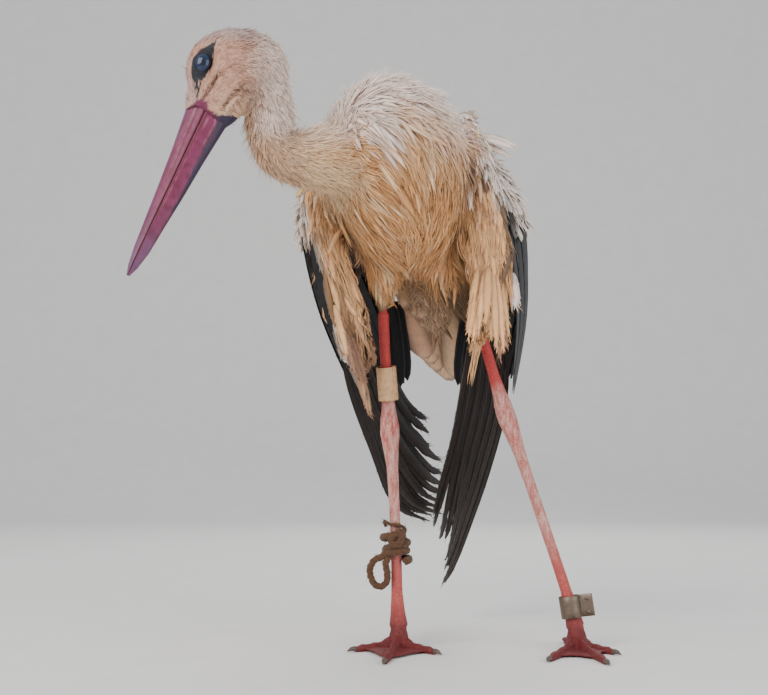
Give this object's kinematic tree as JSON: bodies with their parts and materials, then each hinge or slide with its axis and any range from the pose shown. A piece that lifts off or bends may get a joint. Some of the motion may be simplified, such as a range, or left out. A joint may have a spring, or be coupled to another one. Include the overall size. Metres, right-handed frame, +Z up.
{
  "type": "white stork",
  "caption": "Life-size still model of a standing white stork with drooped wings, bill lowered, a leg band, a metal ring and a knotted rope on its legs.",
  "frame": {"origin": "the floor point under the middle of the bird's box", "axes": "+Z up, the bird's front towards -Y, its left towards +X"},
  "size_m": [0.4424, 0.4782, 0.5637],
  "materials": {
    "plumage_body": "matt, soft, stained cream body feathers",
    "plumage_white": "matt, soft, off-white feathers",
    "plumage_black": "satin, faintly glossy black flight feathers",
    "bill_horn": "satin, red horn with grey wear",
    "eye_wet": "wet, mirror-smooth dark eye",
    "leg_skin": "matt, scaly red skin, limed pale on the shanks",
    "claw_horn": "satin, worn dark horn",
    "band_plastic": "matt, dusty cream band",
    "ring_metal": "dull, scratched metal",
    "rope_jute": "matt, hairy, dusty rope"
  },
  "bodies": {
    "root": {"band_right_tibia": "band_plastic", "bill_lower": "bill_horn", "bill_upper": "bill_horn", "claw_left_1": "claw_horn", "claw_left_2": "claw_horn", "claw_left_3": "claw_horn", "claw_left_4": "claw_horn", "claw_right_1": "claw_horn", "claw_right_2": "claw_horn", "claw_right_3": "claw_horn", "claw_right_4": "claw_horn", "eye_left": "eye_wet", "eye_right": "eye_wet", "foot_left": "leg_skin", "foot_right": "leg_skin", "head": "plumage_body", "neck_lower": "plumage_body", "neck_upper": "plumage_body", "ring_left_shank": "ring_metal", "rope_right_shank": "rope_jute", "shank_left": "leg_skin", "shank_right": "leg_skin", "tail": "plumage_white", "thigh_left": "plumage_body", "thigh_right": "plumage_body", "tibia_left": "leg_skin", "tibia_right": "leg_skin", "trunk": "plumage_body", "wing_left_arm": "plumage_white", "wing_left_hand": "plumage_white", "wing_left_primaries": "plumage_black", "wing_left_secondaries": "plumage_black", "wing_right_arm": "plumage_white", "wing_right_hand": "plumage_white", "wing_right_primaries": "plumage_black", "wing_right_secondaries": "plumage_black"}
  },
  "joints": []
}
